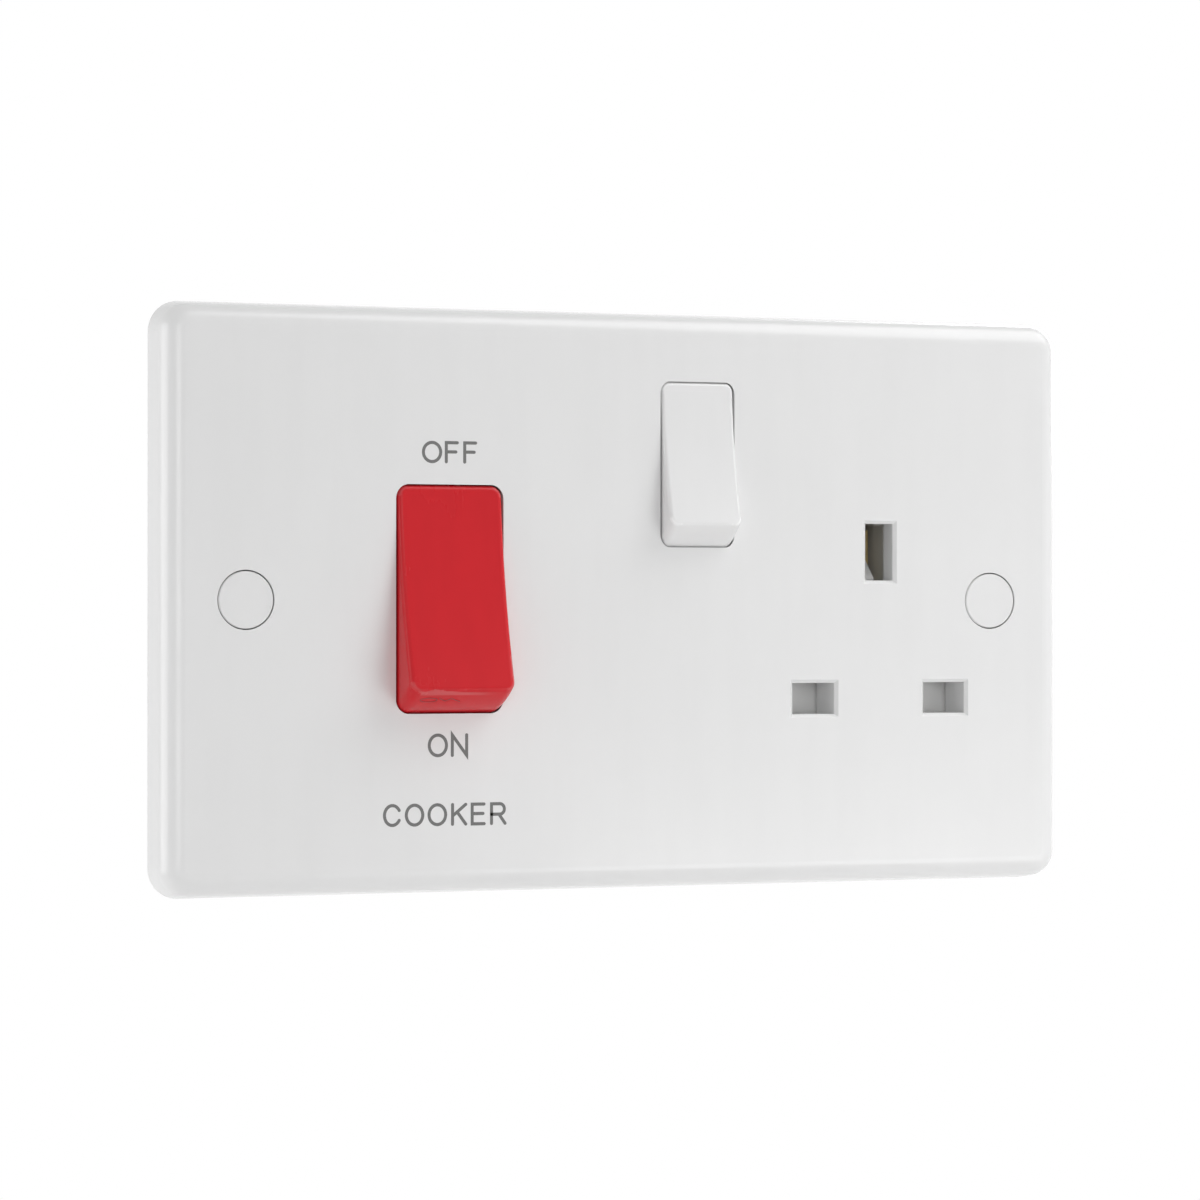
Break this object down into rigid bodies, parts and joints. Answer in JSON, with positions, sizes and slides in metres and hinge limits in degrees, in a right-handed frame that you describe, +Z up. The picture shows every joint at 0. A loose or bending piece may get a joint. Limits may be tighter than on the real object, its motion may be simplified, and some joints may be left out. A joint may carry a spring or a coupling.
{
  "type": "cooker control unit",
  "caption": "Flush wall plate with a large red cooker isolating rocker switch and a shuttered three-pin socket with its own small rocker switch.",
  "frame": {"origin": "centre of the plate's back plane, on the finished wall, at the mouth of the wall box", "axes": "+X to the right as the unit is faced, along its longest side; +Y into the wall; +Z up"},
  "size_m": [0.146, 0.035, 0.086],
  "materials": {
    "plate_moulding": "glossy white thermoset moulding",
    "cap_moulding": "glossy white moulding",
    "red_moulding": "glossy red moulding",
    "white_rocker": "glossy white moulding",
    "rear_moulding": "satin off-white moulding",
    "shutter_moulding": "satin white moulding",
    "plunger_moulding": "plain white moulding",
    "brass_block": "machined brass",
    "brass_strip": "rolled and pressed brass",
    "contact_metal": "pressed copper alloy with silver buttons",
    "plated_screw": "zinc-plated steel",
    "spring_steel": "drawn spring wire"
  },
  "bodies": {
    "unit": {"front_plate": "plate_moulding", "screw_cap_left": "cap_moulding", "screw_cap_right": "cap_moulding", "fixing_screw_left": "plated_screw", "fixing_screw_right": "plated_screw", "left_base_screw": "plated_screw", "lower_left_base_screw": "plated_screw", "upper_middle_base_screw": "plated_screw", "upper_right_base_screw": "plated_screw", "lower_right_base_screw": "plated_screw", "rear_base": "rear_moulding", "cooker_live_fixed_contact": "contact_metal", "cooker_live_common_strip": "contact_metal", "cooker_neutral_fixed_contact": "contact_metal", "cooker_neutral_common_strip": "contact_metal", "supply_live_terminal": "brass_block", "supply_live_screw": "plated_screw", "cooker_live_terminal": "brass_block", "cooker_live_screw": "plated_screw", "supply_neutral_terminal": "brass_block", "supply_neutral_screw": "plated_screw", "cooker_neutral_terminal": "brass_block", "cooker_neutral_screw": "plated_screw", "earth_terminal_bar": "brass_block", "earth_screw_left": "plated_screw", "earth_screw_right": "plated_screw", "live_link": "brass_strip", "neutral_link": "brass_strip", "socket_live_bus": "brass_strip", "socket_fixed_contact": "contact_metal", "earth_strap": "brass_strip", "socket_neutral_clip": "brass_strip", "socket_live_clip": "brass_strip", "socket_earth_clip": "brass_strip", "shutter_spring": "spring_steel"},
    "cooker_switch": {"cooker_rocker": "red_moulding", "cooker_live_plunger_spring": "spring_steel", "cooker_neutral_plunger_spring": "spring_steel"},
    "cooker_live_plunger_body": {"cooker_live_plunger": "plunger_moulding"},
    "cooker_neutral_plunger_body": {"cooker_neutral_plunger": "plunger_moulding"},
    "cooker_live_contact": {"cooker_live_moving_contact": "contact_metal"},
    "cooker_neutral_contact": {"cooker_neutral_moving_contact": "contact_metal"},
    "socket_switch": {"socket_rocker": "white_rocker", "socket_plunger_spring": "spring_steel"},
    "socket_plunger_body": {"socket_plunger": "plunger_moulding"},
    "socket_contact": {"socket_moving_contact": "contact_metal"},
    "shutter_slide_body": {"shutter": "shutter_moulding"}
  },
  "joints": [
    {"name": "cooker_rocker_hinge", "type": "hinge", "parent": "unit", "child": "cooker_switch", "pos_m": [-0.0289, -0.0013, 0.00015], "axis": [1, 0, 0], "range_deg": [0, 22]},
    {"name": "cooker_live_contact_hinge", "type": "hinge", "parent": "unit", "child": "cooker_live_contact", "pos_m": [-0.0325, 0.01375, 0.00015], "axis": [1, 0, 0], "range_deg": [-13.2, 0]},
    {"name": "cooker_neutral_contact_hinge", "type": "hinge", "parent": "unit", "child": "cooker_neutral_contact", "pos_m": [-0.0253, 0.01375, 0.00015], "axis": [1, 0, 0], "range_deg": [-13.2, 0]},
    {"name": "cooker_live_plunger_slide", "type": "slide", "parent": "cooker_switch", "child": "cooker_live_plunger_body", "axis": [0, -0.9816, 0.1908], "range_m": [0, 0.001], "stiffness_N_per_m": 400, "springref_m": -0.0015, "deforming": ["cooker_live_plunger_spring"]},
    {"name": "cooker_neutral_plunger_slide", "type": "slide", "parent": "cooker_switch", "child": "cooker_neutral_plunger_body", "axis": [0, -0.9816, 0.1908], "range_m": [0, 0.001], "stiffness_N_per_m": 400, "springref_m": -0.0015, "deforming": ["cooker_neutral_plunger_spring"]},
    {"name": "socket_rocker_hinge", "type": "hinge", "parent": "unit", "child": "socket_switch", "pos_m": [0.01085, 0.001, 0.02028], "axis": [1, 0, 0], "range_deg": [0, 18.8]},
    {"name": "socket_contact_hinge", "type": "hinge", "parent": "unit", "child": "socket_contact", "pos_m": [0.01085, 0.01435, 0.02028], "axis": [1, 0, 0], "range_deg": [-15.04, 0]},
    {"name": "socket_plunger_slide", "type": "slide", "parent": "socket_switch", "child": "socket_plunger_body", "axis": [0, -0.9866, 0.1633], "range_m": [0, 0.001], "stiffness_N_per_m": 400, "springref_m": -0.0015, "deforming": ["socket_plunger_spring"]},
    {"name": "shutter_slide", "type": "slide", "parent": "unit", "child": "shutter_slide_body", "axis": [0, 0, -1], "range_m": [0, 0.005], "stiffness_N_per_m": 100, "springref_m": -0.004, "deforming": ["shutter_spring"]}
  ],
  "couplings": [
    {"joint": "cooker_live_contact_hinge", "follows": "cooker_rocker_hinge", "ratio": -0.6},
    {"joint": "cooker_neutral_contact_hinge", "follows": "cooker_rocker_hinge", "ratio": -0.6},
    {"joint": "socket_contact_hinge", "follows": "socket_rocker_hinge", "ratio": -0.8}
  ]
}
